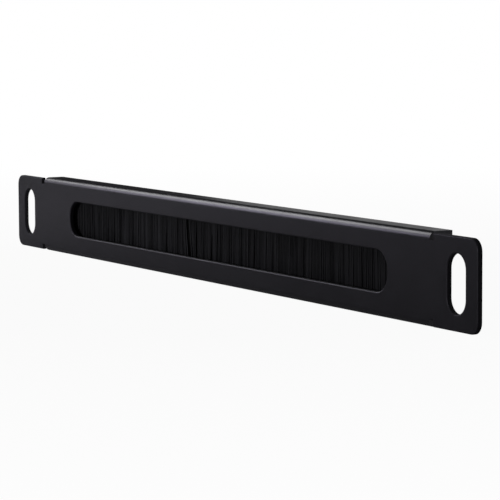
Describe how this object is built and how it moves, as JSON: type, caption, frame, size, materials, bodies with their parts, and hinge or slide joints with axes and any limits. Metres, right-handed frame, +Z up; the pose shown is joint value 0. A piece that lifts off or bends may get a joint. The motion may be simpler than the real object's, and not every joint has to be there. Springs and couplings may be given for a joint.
{
  "type": "rack brush strip panel",
  "caption": "Low folded sheet-metal rack panel with slotted ears and a long round-ended cable opening covered by a hanging brush strip.",
  "frame": {"origin": "bottom centre of the bounding box, under the middle of the panel and half way through its depth", "axes": "+X along the panel to the right as seen from the front, +Y into the rack away from the face, +Z up"},
  "size_m": [0.254, 0.0064, 0.0222],
  "materials": {
    "powder_coat": "fine-textured satin black powder coat",
    "holder_coat": "smooth black coat",
    "galvanised_strip": "dull galvanised",
    "bare_wire": "bare drawn wire",
    "bristles": "fine black nylon filaments",
    "plated_fasteners": "zinc plated"
  },
  "bodies": {
    "root": {"front_panel": "powder_coat", "brush_holder": "holder_coat", "brush_channel": "galvanised_strip", "core_wire": "bare_wire", "bristle_curtain": "bristles", "weld_studs": "plated_fasteners", "stud_washers": "plated_fasteners", "stud_nuts": "plated_fasteners"}
  },
  "joints": []
}
